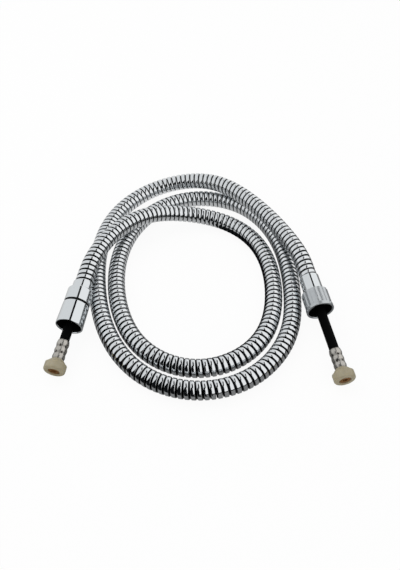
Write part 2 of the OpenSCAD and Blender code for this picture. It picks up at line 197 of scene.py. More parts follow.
def keep_mesh(name, source, tree, values):
    """Runs a tree on an object and keeps what comes out as a plain mesh object."""
    modifier = source.modifiers.new(tree.name, "NODES")
    modifier.node_group = tree
    for item in tree.interface.items_tree:
        if item.in_out == "INPUT" and item.name in values:
            modifier[item.identifier] = values[item.name]
    return plain_mesh(name, source)


def soften(obj, sharp_above=35):
    """Smooth shading, with a crisp edge wherever two faces meet at more than an angle."""
    obj.data.shade_smooth()
    obj.data.set_sharp_from_angle(angle=radians(sharp_above))
    return obj


def tell(piece):
    """Prints a piece's size in millimetres and its number of faces."""
    size = [round(x / MM, 1) for x in piece.dimensions]
    print(piece.name, "mm:", size, "faces:", len(piece.data.polygons))
    return piece


# %% [markdown]
# ## The winding
# The casing is one long steel strip, bent to a profile and wound like a screw thread round the
# hose. Each turn is a crowned band, and the low edge of one turn runs under the next one, which
# leaves the narrow groove between two bands. The bands keep their width when the hose bends, so
# the grooves close on the inside of a bend and open on the outside.
# A row of rings would look much the same from afar, but a ring never runs on into its
# neighbour. So a tree of nodes follows the real rule: it lays a screw line on the
# route, one point after another, turns each point's own "up" away from the middle of the hose,
# and sweeps the strip's section along it. The threads in the nuts are made by the same tree, on
# a straight line.

# %% Tree that winds a section round a route
def winding_tree():
    tree = bpy.data.node_groups.new("wind_section_round_route", "GeometryNodeTree")
    for name, kind in (
        ("Route", "Geometry"), ("Section", "Object"), ("Finish", "Material"), ("Turns", "Int"),
        ("Steps per turn", "Int"), ("Start", "Float"), ("Pitch", "Float"), ("Radius", "Float"),
        ("Run-out", "Float"),
    ):
        tree.interface.new_socket(name=name, in_out="INPUT", socket_type="NodeSocket" + kind)
    tree.interface.new_socket(name="Winding", in_out="OUTPUT", socket_type="NodeSocketGeometry")
    given = add_node(tree, "NodeGroupInput").outputs
    turns, steps = given["Turns"], given["Steps per turn"]

    # One point for each step of each turn, and how many turns each point has behind it.
    count = add_node(tree, "ShaderNodeMath", {0: turns, 1: steps}, operation="MULTIPLY")
    count = add_node(tree, "ShaderNodeMath", {0: count, 1: 1.0}, operation="ADD")
    line = add_node(tree, "GeometryNodeCurvePrimitiveLine")
    line = add_node(tree, "GeometryNodeResampleCurve", {"Curve": line, "Count": count})
    index = add_node(tree, "GeometryNodeInputIndex")
    turn = add_node(tree, "ShaderNodeMath", {0: index, 1: steps}, operation="DIVIDE")
    angle = add_node(tree, "ShaderNodeMath", {0: turn, 1: 2 * pi}, operation="MULTIPLY")
    station = add_node(
        tree, "ShaderNodeMath", {0: turn, 1: given["Pitch"], 2: given["Start"]},
        operation="MULTIPLY_ADD",
    )

    # The spot on the route at that station, and the way out of the hose at that angle.
    spot = add_node(
        tree, "GeometryNodeSampleCurve", {"Curves": given["Route"], "Length": station},
        mode="LENGTH",
    )
    out = add_node(
        tree, "ShaderNodeVectorRotate",
        {"Vector": spot.outputs["Normal"], "Axis": spot.outputs["Tangent"], "Angle": angle},
        rotation_type="AXIS_ANGLE",
    )

    # Over the first and the last half turn the section climbs out of the wall, by the run-out.
    left = add_node(tree, "ShaderNodeMath", {0: turns, 1: turn}, operation="SUBTRACT")
    to_end = add_node(tree, "ShaderNodeMath", {0: turn, 1: left}, operation="MINIMUM")
    sunk = add_node(
        tree, "ShaderNodeMapRange",
        {"Value": to_end, "From Max": 0.5, "To Min": given["Run-out"], "To Max": 0.0},
    )
    reach = add_node(tree, "ShaderNodeMath", {0: given["Radius"], 1: sunk}, operation="ADD")
    lift = add_node(tree, "ShaderNodeVectorMath", {0: out, "Scale": reach}, operation="SCALE")
    place = add_node(
        tree, "ShaderNodeVectorMath", {0: spot.outputs["Position"], 1: lift}, operation="ADD"
    )
    screw = add_node(tree, "GeometryNodeSetPosition", {"Geometry": line, "Position": place})
    screw = add_node(
        tree, "GeometryNodeSetCurveNormal", {"Curve": screw, "Normal": out}, mode="FREE"
    )

    # The section keeps its own height as an attribute, which the finish reads to tell a groove
    # from a crown and to paint shade in the groove.
    section = add_node(tree, "GeometryNodeObjectInfo", {"Object": given["Section"]})
    height = add_node(
        tree, "ShaderNodeSeparateXYZ", {0: add_node(tree, "GeometryNodeInputPosition")}
    )
    section = add_node(
        tree, "GeometryNodeStoreNamedAttribute",
        {"Geometry": section.outputs["Geometry"], "Name": "height",
         "Value": height.outputs["X"]},
    )
    swept = add_node(
        tree, "GeometryNodeCurveToMesh",
        {"Curve": screw, "Profile Curve": section, "Fill Caps": True},
    )
    whole = add_node(tree, "GeometryNodeRealizeInstances", {"Geometry": swept})
    whole = add_node(
        tree, "GeometryNodeSetMaterial", {"Geometry": whole, "Material": given["Finish"]}
    )
    add_node(tree, "NodeGroupOutput", {"Winding": whole})
    return tree


WINDING = winding_tree()
print("winding tree:", len(WINDING.nodes), "nodes")

# %% [markdown]
# ## Colours and finishes
# A colour is written as the eye sees it on a screen, a hex value, and one function turns it to the
# linear numbers that light is worked out with. Each finish starts from what the real one is and
# how its surface was made. Nothing real is perfectly even, so each one has a fine pattern, sized
# in millimetres, that changes its shine, its tone and its surface a little. Real grit and tool
# marks are hundredths of a millimetre wide, too fine to show, so each pattern is drawn as coarse
# as it needs to be, mostly about a millimetre.

# %% Colour and finish helpers
MIX_A, MIX_B = 6, 7  # the two colour inputs of a Mix node
NOISE_LOW, NOISE_HIGH = 0.3, 0.7  # nearly all of a noise pattern lies between these
NOISE_DETAIL = 3


def colour(hex_value):
    """Linear red, green, blue and alpha of an sRGB hex value."""
    parts = [int(hex_value[i:i + 2], 16) / 255 for i in (1, 3, 5)]
    return (*[x / 12.92 if x <= 0.04045 else ((x + 0.055) / 1.055) ** 2.4 for x in parts], 1)


def new_finish(name, mark, roughness, depth, tones=None, **sockets):
    """A Principled material, with the named sockets set and with marks of a size in millimetres.

    The marks spread the roughness, mix the two tones and raise the skin by the depth."""
    made = bpy.data.materials.new(name)
    made.use_nodes = True
    tree = made.node_tree
    shader = tree.nodes["Principled BSDF"]
    for socket, value in sockets.items():
        shader.inputs[socket.replace("_", " ")].default_value = value
    place = add_node(tree, "ShaderNodeTexCoord").outputs["Object"]
    marks = add_node(
        tree, "ShaderNodeTexNoise",
        {"Vector": place, "Scale": 1 / (mark * MM), "Detail": NOISE_DETAIL},
    )
    rough = add_node(
        tree, "ShaderNodeMapRange",
        {"Value": marks, "From Min": NOISE_LOW, "From Max": NOISE_HIGH,
         "To Min": roughness[0], "To Max": roughness[1]},
    )
    tree.links.new(rough.outputs[0], shader.inputs["Roughness"])
    if tones:
        tone = add_node(
            tree, "ShaderNodeMix",
            {0: marks, MIX_A: colour(tones[0]), MIX_B: colour(tones[1])}, data_type="RGBA",
        )
        tree.links.new(main_output(tone), shader.inputs["Base Color"])
    raised = add_node(tree, "ShaderNodeBump", {"Height": marks, "Distance": depth * MM})
    tree.links.new(raised.outputs[0], shader.inputs["Normal"])
    print("finish:", name)
    return made


# %% [markdown]
# ### Bright chromium plate
# Decorative chrome is a skin of chromium well under a thousandth of a millimetre, on polished
# nickel over brass. It is a mirror: what the eye reads is the room, and the plate itself only
# shows as a slightly cool, slightly darker copy of it. Handling leaves a faint haze, so the
# roughness drifts a little over about a centimetre, and plating leaves the skin very slightly wavy.

# %% Chrome finishes
chromium_plate = new_finish(
    "bright_chromium_plate", mark=9, roughness=(0.035, 0.075), depth=0.012,
    Metallic=1.0, Base_Color=colour("#dfe3e5"),
)
# The same plate on brushed brass gives soft, wide highlights and shows the room as a blur.
satin_chromium_plate = new_finish(
    "satin_chromium_plate", mark=2.2, roughness=(0.28, 0.38), depth=0.01,
    tones=("#b9bdc0", "#cbcfd1"), Metallic=1.0,
)
# Painted shade: bores, threads and seats are painted near black, so a bore reads as a dark hole.
bore_painted_dark = new_finish(
    "bore_painted_dark_for_shade", mark=1.4, roughness=(0.6, 0.8), depth=0.03,
    tones=("#040404", "#0b0b0c"), Metallic=0.0, Specular_IOR_Level=0.08,
)
# Drawn spring steel, unplated, is a plain grey metal with a fine grain.
spring_steel = new_finish(
    "plain_spring_steel", mark=1.2, roughness=(0.25, 0.42), depth=0.01,
    tones=("#8d8f92", "#a2a3a5"), Metallic=1.0,
)

# %% [markdown]
# ### Chromed steel strip
# The strip is polished and plated before it is folded, so its crowns are bright. The finish reads
# the height that the winding tree stored: from the crown down to the groove the colour falls to
# near black, and a metal's shine with it. That dark is painted shade in the grooves.

# %% Finish of the casing
def paint_shade_by_height(finish, low, high, painted_shade_tone):
    """Painted shade: another tone where the stored height, in millimetres, falls from high to low.
    """
    tree = finish.node_tree
    base = tree.nodes["Principled BSDF"].inputs["Base Color"]
    tone_above = base.links[0].from_socket if base.is_linked else tuple(base.default_value)
    height = add_node(tree, "ShaderNodeAttribute", attribute_name="height")
    share = add_node(
        tree, "ShaderNodeMapRange",
        {"Value": height.outputs["Fac"], "From Min": low * MM, "From Max": high * MM},
    )
    tone = add_node(
        tree, "ShaderNodeMix", {0: share, MIX_A: colour(painted_shade_tone), MIX_B: tone_above},
        data_type="RGBA",
    )
    tree.links.new(main_output(tone), base)
    return finish


chromed_strip = new_finish(
    "chromed_steel_strip", mark=3.5, roughness=(0.05, 0.1), depth=0.01,
    Metallic=1.0, Base_Color=colour("#e2e5e7"),
)
# Painted shade: near black in the grooves, where shade falls between the bands.
paint_shade_by_height(chromed_strip, low=0.5, high=0.87, painted_shade_tone="#111214")

# %% [markdown]
# ### Rubber, nylon, brass and the crimped ferrules
# The inner tube is rubber, the swivel ring and the flanges are moulded plastics, and the cores and
# ferrules are bare metals. A milky plastic could be painted plain, but light sinks into the real
# one for a millimetre or two, so it gets some subsurface light and its rims glow softly.

# %% Finishes of the small pieces
# Extruded rubber is nearly matt, and so black that only its edge shows a little light.
epdm_rubber = new_finish(
    "extruded_epdm_rubber", mark=0.9, roughness=(0.55, 0.7), depth=0.02,
    tones=("#020202", "#060607"), Specular_IOR_Level=0.04,
)
# Moulded nylon is smoother than rubber and keeps a dull gleam.
black_nylon = new_finish(
    "moulded_black_nylon", mark=1.1, roughness=(0.45, 0.6), depth=0.01,
    tones=("#040405", "#0a0a0b"), Specular_IOR_Level=0.15,
)
# Undyed nylon is an even, waxy ivory.
ivory_nylon = new_finish(
    "moulded_ivory_nylon", mark=1.5, roughness=(0.35, 0.45), depth=0.01,
    tones=("#cfc8b2", "#ddd7c4"),
)
# The flange's plastic is milky, has yellowed a little, and is cloudy over a few millimetres.
milky_plastic = new_finish(
    "moulded_milky_flange", mark=4.5, roughness=(0.34, 0.46), depth=0.02,
    tones=("#9f967d", "#b2a98f"), IOR=1.5, Subsurface_Weight=0.35,
    Subsurface_Radius=(1.0, 0.85, 0.55), Subsurface_Scale=1.6 * MM,
)
# Water leaves a brown film on turned brass, so the metal's own shine only half comes through.
browned_brass = new_finish(
    "turned_brass_browned_by_water", mark=0.8, roughness=(0.4, 0.6), depth=0.02,
    tones=("#7f5632", "#ad7d49"), Metallic=0.45,
)
# Thin metal, tumbled and then crimped: a little dull and warm in tone. The dents where the jaws
# pressed are painted darker: painted shade.
tumbled_ferrule = new_finish(
    "tumbled_and_crimped_ferrule", mark=0.9, roughness=(0.16, 0.34), depth=0.03,
    tones=("#a8a49d", "#cfccc6"), Metallic=1.0,
)
# Painted shade: the ferrule is painted darker where its skin lies low, in the dents.
paint_shade_by_height(tumbled_ferrule, low=-0.25, high=0.2, painted_shade_tone="#45423e")

# %% [markdown]
# ## The casing
# The strip's section is drawn once, as radius against station along the hose: a rounded left
# shoulder, a low crown, a rounded right shoulder, then the wall of the groove and the ledge that
# runs on under the next turn. It is closed underneath, along the bore that the rubber tube runs
# in, because the real strip's inner folds can't be seen and would double the number of faces.
# About 320 turns of it, close to 5 mm apart, make the whole hose.

# %% Wind the casing
STRIP_MIDDLE_R, LEDGE_R, BORE_R = 7.1, 7.0, 5.5
BAND, TARGET_PITCH = 3.75, 5.0
LEDGE_PLAY, END_PLAY = 0.15, 0.02
STRIP_STEPS = 22
SHOULDER = [(0, 7.1), (0.03, 7.5), (0.17, 7.83), (0.5, 7.98)]  # in from the band's side, radius
CROWN_STATION = 0.4
EDGE = BAND / 2
LEDGE_END = TARGET_PITCH - EDGE - LEDGE_PLAY
# Station from the middle of the band, and radius from the middle of the hose.
STRIP_SECTION = [
    *[(x - EDGE, r) for x, r in SHOULDER], (CROWN_STATION, HOSE_R),
    *[(EDGE - x, r) for x, r in reversed(SHOULDER)],
    (LEDGE_END, LEDGE_R), (LEDGE_END, BORE_R), (-EDGE, BORE_R),
]


def section_curve(name, section, middle_r):
    """A section as a closed curve: x is the way out from the screw line, y runs back."""
    return line_curve(name, [(r - middle_r, -z) for z, r in reversed(section)], closed=True)


strip_start = EDGE + END_PLAY
strip_end = casing_length - LEDGE_END - END_PLAY
turns = round((strip_end - strip_start) / TARGET_PITCH)
strip_pitch = (strip_end - strip_start) / turns
strip_section = section_curve("strip_section", STRIP_SECTION, STRIP_MIDDLE_R)
casing = keep_mesh(
    "wound_steel_casing", line_curve("route", route), WINDING,
    {"Section": strip_section, "Finish": chromed_strip, "Turns": turns,
     "Steps per turn": STRIP_STEPS, "Start": strip_start * MM, "Pitch": strip_pitch * MM,
     "Radius": STRIP_MIDDLE_R * MM, "Run-out": 0.0},
)
bpy.data.objects.remove(strip_section)
soften(casing, sharp_above=50)
print("turns:", turns, "pitch, mm:", round(strip_pitch, 3))
tell(casing)

# %% [markdown]
# ## The rubber tube inside the casing
# It can hardly be seen, but it is there: a smooth round hose with a wall of 1.25 mm. The winding
# tree could sweep a ring along the route as well, but a plain tube is what a curve's own round
# bevel is for. It gives the skin, and a Solidify modifier gives it its wall, inwards.

# %% Inner tube
TUBE_R, TUBE_WALL = 4.25, 1.25
tube_line = line_curve("tube_line", route)
tube_line.data.bevel_depth = TUBE_R * MM
tube_line.data.bevel_resolution = 3
inner_tube = plain_mesh("tube_skin", tube_line)
wall = inner_tube.modifiers.new("wall", "SOLIDIFY")
wall.thickness = TUBE_WALL * MM
wall.offset = -1
inner_tube = plain_mesh("rubber_inner_tube", inner_tube)
inner_tube.data.materials.append(epdm_rubber)
soften(inner_tube, sharp_above=50)
tell(inner_tube)

# %% [markdown]
# ## Turned pieces
# Every fitting is turned, so one function does the work of a lathe: it takes a closed outline of
# radius against station along the fitting's own axis and sweeps it round that axis, straight onto
# its end of the hose. A Screw modifier would spin an outline too, but it can't change the radius
# with the angle. A `shape` rule does that here, which is how flutes, crimps and dimples are
# pressed in. Sharp corners of real metal always carry a small rounding that catches the light,
# and `rounded` puts an arc on each corner that asks for one.

# %% Where a fitting stands
def end_place(end, heading, slope):
    """Where a fitting stands: its own +Z runs outwards from the end of the casing."""
    return (
        Matrix.Translation(end * MM)
        @ Matrix.Rotation(heading, 4, "Z")
        @ Matrix.Rotation(pi / 2 + slope, 4, "X")
        @ Matrix.Scale(MM, 4)
    )


LEFT = end_place(LEFT_END, LEFT_HEADING, LEFT_SLOPE)
RIGHT = end_place(RIGHT_END, RIGHT_HEADING, RIGHT_SLOPE)
print("ends of the casing, mm:", LEFT_END[:], RIGHT_END[:])


# %% Outlines
ON_WALL = 0.1  # mm; a point this near to a bore counts as lying on it
LONGEST_ARC = 0.49  # share of a side that an arc may take, so that two arcs never meet


def rounded(corners, steps=4):
    """An outline through (radius, station, rounding) corners, with an arc at each rounded one."""
    outline = []
    for before, here, after in zip([corners[-1], *corners], corners, [*corners[1:], corners[0]]):
        corner = Vector(here[:2])
        if len(here) == 2 or not here[2]:
            outline.append(tuple(corner))
            continue
        back, ahead = (Vector(p[:2]) - corner for p in (before, after))
        half = back.angle(ahead) / 2
        longest = LONGEST_ARC * min(back.length, ahead.length)
        reach = min(here[2] / tan(half), longest)
        back, ahead = back.normalized() * reach, ahead.normalized() * reach
        middle = (back + ahead).normalized() * (reach / cos(half))
        for i in range(steps + 1):
            spoke = ((back - middle).lerp(ahead - middle, i / steps)).normalized()
            outline.append(tuple(corner + middle + spoke * reach * tan(half)))
    return outline


def dense(outline, step):
    """The same closed outline with points about a step apart."""
    points = []
    for a, b in zip(outline, [*outline[1:], outline[0]]):
        parts = max(1, round((Vector(b) - Vector(a)).length / step))
        points += [tuple(Vector(a).lerp(Vector(b), i / parts)) for i in range(parts)]
    return points


def off_mark(angle, count, shift=0.0):
    """How far an angle is from the nearest of a number of marks round the axis."""
    pitch = 2 * pi / count
    return (angle - shift + pitch / 2) % pitch - pitch / 2


# %% The lathe
def turned(name, place, outline, finishes, pick=None, shape=None, steps=96):
    """A closed outline of (radius, station) in millimetres, swept round a fitting's axis.

    `pick` chooses a face's finish by its place, and `shape` changes the radius with the angle."""
    made = bmesh.new()
    rings = []
    for k in range(steps):
        angle = 2 * pi * k / steps
        ring = []
        for r, z in outline:
            r = shape(angle, r, z) if shape else r
            ring.append(made.verts.new(place @ Vector((r * cos(angle), r * sin(angle), z))))
        rings.append(ring)
    count = len(outline)
    for k, ring in enumerate(rings):
        nearby = rings[(k + 1) % steps]
        for i in range(count):
            j = (i + 1) % count
            face = made.faces.new((ring[i], ring[j], nearby[j], nearby[i]))
            if pick:
                face.material_index = pick(
                    (outline[i][0] + outline[j][0]) / 2, (outline[i][1] + outline[j][1]) / 2
                )
    bmesh.ops.recalc_face_normals(made, faces=made.faces)
    mesh = bpy.data.meshes.new(name)
    made.to_mesh(mesh)
    made.free()
    for finish in finishes:
        mesh.materials.append(finish)
    return tell(soften(put(name, mesh)))


# %% [markdown]
# ## Sleeves
# Each end of the casing sits in a turned brass sleeve. Its back is a short smooth neck round the
# casing, and the left one has a wide collar in front of that. The front of each, inside its nut,
# is a spigot with a groove for the clip and a cone seat for the flange. The groove could be cut
# with a Boolean modifier, but in a turned piece it is only four more corners of the outline.

# %% Both sleeves
GRIP_R, NECK_R, SLEEVE_BORE_R = 8.12, 8.87, 5.62
NECK_BACK, CASING_STOP = -6, 1.0
SPIGOT_END, SEAT_R, SEAT_DEPTH, SEAT_RIM_R = 22.43, 7.9, 2.68, 8.6
CLIP_SEAT, CLIP_ROOM = 0.5, 1.35


def sleeve_front(spigot_r, groove_back):
    """The spigot's outline, from the clip's groove round the seat and back down the bore."""
    groove_r = spigot_r - CLIP_SEAT
    return [
        (spigot_r, groove_back), (groove_r, groove_back), (groove_r, groove_back + CLIP_ROOM),
        (spigot_r, groove_back + CLIP_ROOM), (spigot_r, SPIGOT_END, 0.2), (SEAT_R, SPIGOT_END),
        (SLEEVE_BORE_R, SPIGOT_END - SEAT_DEPTH), (SLEEVE_BORE_R, CASING_STOP),
        (GRIP_R, CASING_STOP),
    ]


def shaded_bore_and_seat(r, z):
    """The bore and the seat take the second finish, which is painted shade."""
    on_seat = z > SPIGOT_END - SEAT_DEPTH and r < SEAT_RIM_R
    return 1 if r < SLEEVE_BORE_R + ON_WALL or on_seat else 0


LEFT_SPIGOT_R, LEFT_GROOVE = 8.4, 19.575
RIGHT_SPIGOT_R, RIGHT_GROOVE = 8.87, 20.4
COLLAR_R, COLLAR_BACK, COLLAR_FRONT = 11.4, 1.8, 15
RING_BORE_R, RING_R, RING_FRONT = 8.52, 10.95, 16.8
left_sleeve = turned(
    "left_turned_sleeve", LEFT,
    rounded([
        (GRIP_R, NECK_BACK), (NECK_R, NECK_BACK, 0.3), (NECK_R, COLLAR_BACK, 0.3),
        (COLLAR_R, COLLAR_BACK, 1.2), (COLLAR_R, COLLAR_FRONT, 0.25),
        (LEFT_SPIGOT_R, COLLAR_FRONT), *sleeve_front(LEFT_SPIGOT_R, LEFT_GROOVE),
    ], steps=6),
    [chromium_plate, bore_painted_dark], pick=shaded_bore_and_seat,
)
right_sleeve = turned(
    "right_turned_sleeve", RIGHT,
    rounded([
        (GRIP_R, NECK_BACK), (NECK_R, NECK_BACK, 0.3),
        *sleeve_front(RIGHT_SPIGOT_R, RIGHT_GROOVE),
    ]),
    [chromium_plate, bore_painted_dark], pick=shaded_bore_and_seat,
)
swivel_ring = turned(
    "left_nylon_swivel_ring", LEFT,
    rounded([
        (RING_BORE_R, COLLAR_FRONT), (RING_R, COLLAR_FRONT, 0.2), (RING_R, RING_FRONT, 0.2),
        (RING_BORE_R, RING_FRONT),
    ]),
    [black_nylon],
)

# %% [markdown]
# ## Nuts and their threads
# Both nuts take a G 1/2 pipe thread: 14 turns to the inch, so 1.814 mm from one turn to the next,
# with rounded flanks at 55 degrees. The left nut is a plain cone with a rolled lip, and the right
# one is fluted for the fingers up to a plain rim. Cut out with a Boolean, as a tap cuts the real
# nut, a thread would leave thousands of slivers. So it is the same winding as the strip, with a
# ridge for its section, and its first and last half turns run out into the wall.

# %% Threads
THREAD_PITCH = 25.4 / 14
VALLEY_R, CREST_R, ROOT_R = 10.4, 9.5, 10.55
THREAD_STEPS, RUN_OUT, AXIS_LENGTH = 48, 0.85, 40
# The ridge's section, as station and radius: half of it, then its mirror.
RIDGE_HALF = [(0.74, ROOT_R), (0.74, 10.38), (0.26, 9.58), (0.12, CREST_R)]
THREAD_SECTION = [
    *[(-z, r) for z, r in RIDGE_HALF[1:]], *reversed(RIDGE_HALF), (-0.74, ROOT_R),
]


def threaded(nut, place, first, last):
    """Cuts the thread: a ridge wound down the nut's bore, joined to the nut as one piece."""
    ends = [place @ Vector((0, 0, z)) / MM for z in (0, AXIS_LENGTH)]
    axis = line_curve("nut_axis", ends)
    section = section_curve("thread_section", THREAD_SECTION, VALLEY_R)
    count = int((last - first) / THREAD_PITCH)
    ridge = keep_mesh(
        "thread_ridge", axis, WINDING,
        {"Section": section, "Finish": bore_painted_dark, "Turns": count,
         "Steps per turn": THREAD_STEPS,
         "Start": first * MM, "Pitch": THREAD_PITCH * MM, "Radius": VALLEY_R * MM,
         "Run-out": RUN_OUT * MM},
    )
    bpy.data.objects.remove(section)
    tell(soften(ridge, sharp_above=50))
    with bpy.context.temp_override(
        active_object=nut, object=nut, selected_editable_objects=[nut, ridge],
        selected_objects=[nut, ridge],
    ):
        bpy.ops.object.join()


def dark_inside(r, z):
    """The bore takes the second finish, which is painted shade."""
    return 1 if r < VALLEY_R + ON_WALL else 0


# %% Left nut
MOUTH_R = 10.85
LEFT_WALL_R, LEFT_WALL_BACK, LEFT_WALL_FRONT = 8.7, 17.05, 19.45
LEFT_BACK_R, LEFT_FRONT_R, LEFT_FRONT, LEFT_BEVEL = 11.5, 12.0, 38.45, 37.8
LEFT_THREAD = (21.9, 37.7)
left_nut = turned(
    "left_conical_nut", LEFT,
    rounded([
        (LEFT_WALL_R, LEFT_WALL_BACK), (LEFT_BACK_R, LEFT_WALL_BACK, 0.35),
        (LEFT_FRONT_R, LEFT_FRONT, 0.6), (MOUTH_R, LEFT_FRONT, 0.15),
        (VALLEY_R, LEFT_BEVEL), (VALLEY_R, LEFT_WALL_FRONT),
        (LEFT_WALL_R, LEFT_WALL_FRONT),
    ], steps=6),
    [chromium_plate, bore_painted_dark], pick=dark_inside, steps=120,
)
threaded(left_nut, LEFT, *LEFT_THREAD)

# %% Right nut
RIGHT_WALL_R, RIGHT_WALL_BACK, RIGHT_WALL_FRONT = 9.17, 11, 13.4
RIM_R, RIM_BACK, RIM_FLAT = 12.2, 26.2, 26.6
RIGHT_FRONT, RIGHT_BEVEL = 29.8, 29.15
RIGHT_THREAD = (15.9, 29.0)
FLUTES, FLUTE_TOP_R, FLUTE_DEPTH, FLUTE_CUT_R = 12, 11.8, 0.5, 5.0
NOTCH_ANGLE, NOTCH_STATION, NOTCH_R, NOTCH_DEPTH = radians(50), 27.6, 0.8, 0.7


def fluted(angle, r, z):
    """Flutes milled with a round cutter, and the small notch in the rim."""
    if r <= MOUTH_R:
        return r
    if z <= RIM_BACK:
        off = off_mark(angle, FLUTES)
        cutter = FLUTE_TOP_R + FLUTE_CUT_R - FLUTE_DEPTH
        if abs(cutter * sin(off)) < FLUTE_CUT_R:
            r = min(r, cutter * cos(off) - (FLUTE_CUT_R**2 - (cutter * sin(off)) ** 2) ** 0.5)
    away = ((r * (angle - NOTCH_ANGLE)) ** 2 + (z - NOTCH_STATION) ** 2) ** 0.5
    return r - NOTCH_DEPTH * max(0, 1 - (away / NOTCH_R) ** 2) ** 0.5


right_nut = turned(
    "right_fluted_nut", RIGHT,
    dense(rounded([
        (RIGHT_WALL_R, RIGHT_WALL_BACK), (FLUTE_TOP_R, RIGHT_WALL_BACK, 0.5),
        (FLUTE_TOP_R, RIM_BACK, 0.1), (RIM_R, RIM_FLAT, 0.2),
        (RIM_R, RIGHT_FRONT, 0.5), (MOUTH_R, RIGHT_FRONT, 0.15),
        (VALLEY_R, RIGHT_BEVEL), (VALLEY_R, RIGHT_WALL_FRONT),
        (RIGHT_WALL_R, RIGHT_WALL_FRONT),
    ]), step=0.45),
    [satin_chromium_plate, bore_painted_dark], pick=dark_inside, shape=fluted, steps=240,
)
threaded(right_nut, RIGHT, *RIGHT_THREAD)

# %% [markdown]
# ## The drawn-out tube, its ferrules, cores and flanges
# At each end the rubber tube is squeezed between a barbed brass core inside it and a thin metal
# ferrule outside. The crimping tool closes on the ferrule in two rows of pointed jaws, so the
# metal swells into three soft rings between and beside them and carries two rows of small
# diamond-shaped dimples. They could be a bump in the finish, but they are deep enough to change
# the outline, so they are pressed into the mesh. In front sits the flange, a thick moulded washer
# with a heavily rounded rim and a recess for the head of the core.

# %% Tube ends
FERRULE_LENGTH = 18.0
LEFT_BACK, RIGHT_BACK = 71.0, 87.5  # stations where ferrules end and flanges begin
ENDS = (("left", LEFT, LEFT_BACK), ("right", RIGHT, RIGHT_BACK))


def tube_end(side, place, back):
    bore_r = TUBE_R - TUBE_WALL
    return turned(
        side + "_drawn_rubber_tube", place,
        [(bore_r, 0), (TUBE_R, 0), (TUBE_R, back), (bore_r, back)], [epdm_rubber], steps=64,
    )


left_tube_end, right_tube_end = [tube_end(*end) for end in ENDS]

# %% Ferrules
FERRULE_BORE_R, FERRULE_R, THINNEST, SWELL = 4.37, 4.92, 0.12, 0.42
CRIMP_ROWS, CRIMP_JAWS = 2, 6
JAW_HALF_WIDTH, JAW_HALF_HEIGHT, JAW_DEPTH = 1.35, 1.7, 0.42
JAW_CORNERS, JAW_FLANKS = 1.3, 0.8  # powers: 1 gives a diamond and straight flanks


def ferrule(side, place, front):
    """A tube that swells between the rows of jaws, and keeps its skin's height for the painted
    shade of the finish.
    """
    back = front - FERRULE_LENGTH

    def crimped(angle, r, z):
        if r < FERRULE_BORE_R + ON_WALL:
            return r
        share = (z - back) / FERRULE_LENGTH
        r += SWELL * (1 - cos(2 * pi * (CRIMP_ROWS + 1) * share)) / 2
        for row in range(1, CRIMP_ROWS + 1):
            off = off_mark(angle, CRIMP_JAWS, shift=(row % 2) * pi / CRIMP_JAWS)
            x = abs(off) * r / JAW_HALF_WIDTH
            y = abs(share - row / (CRIMP_ROWS + 1)) * FERRULE_LENGTH / JAW_HALF_HEIGHT
            inside = max(0, 1 - (x**JAW_CORNERS + y**JAW_CORNERS))
            r -= JAW_DEPTH * inside**JAW_FLANKS
        return max(r, FERRULE_BORE_R + THINNEST)

    made = turned(
        side + "_crimped_ferrule", place,
        dense(rounded([
            (FERRULE_BORE_R, back), (FERRULE_R, back, 0.2), (FERRULE_R, front, 0.2),
            (FERRULE_BORE_R, front),
        ], steps=3), step=0.26),
        [tumbled_ferrule], shape=crimped, steps=144,
    )
    to_axis = place.inverted()
    height = made.data.attributes.new("height", "FLOAT", "POINT")
    for vertex, stored in zip(made.data.vertices, height.data):
        stored.value = ((to_axis @ vertex.co).xy.length - FERRULE_R) * MM
    return made


left_ferrule, right_ferrule = [ferrule(*end) for end in ENDS]

# %% Cores
WATERWAY_R, STEM_R, BARB_R, NECK_CORE_R = 2.3, 2.65, 2.9, 3.0
STEM_LENGTH, STEM_PLAIN, NECK_START, BARBS, BARB_SHARE = 14, 2, 0.1, 4, 0.9
HEAD, LIP, LIP_WALL, LIP_EDGE, CORE_PLAY = 1.1, 0.5, 0.45, 0.25, 0.12
FLANGE_CONE, FLANGE_RIM = 4.0, 7.0
RECESS_R, RECESS_DEPTH = 5.2, 2.0


def core(side, place, back):
    """A barbed stem with a waterway, and a head with a low lip that sits in the recess."""
    pitch = (STEM_LENGTH - STEM_PLAIN) / BARBS
    start = back - STEM_LENGTH
    head = back + FLANGE_CONE + FLANGE_RIM - RECESS_DEPTH
    outline = [(WATERWAY_R, start)]
    for i in range(BARBS):
        outline += [(STEM_R, start + pitch * i), (BARB_R, start + pitch * (i + BARB_SHARE))]
    outline += rounded([
        (STEM_R, back - STEM_PLAIN), (STEM_R, back + NECK_START),
        (NECK_CORE_R, back + NECK_START), (NECK_CORE_R, head), (RECESS_R - CORE_PLAY, head),
        (RECESS_R - CORE_PLAY, head + HEAD, 0.25), (NECK_CORE_R + LIP_WALL, head + HEAD, 0.1),
        (NECK_CORE_R + LIP_EDGE, head + HEAD + LIP, 0.2),
        (WATERWAY_R, head + HEAD + LIP, 0.25),
    ], steps=3)[:-1]
    outline.append((WATERWAY_R, head + HEAD))
    return turned(side + "_brass_core", place, outline, [browned_brass], steps=72)


left_core, right_core = [core(*end) for end in ENDS]

# %% Flanges
FLANGE_R, FLANGE_BACK_R, CONE_R, CONE_STEP = 9.2, 5.2, 8.6, 0.15


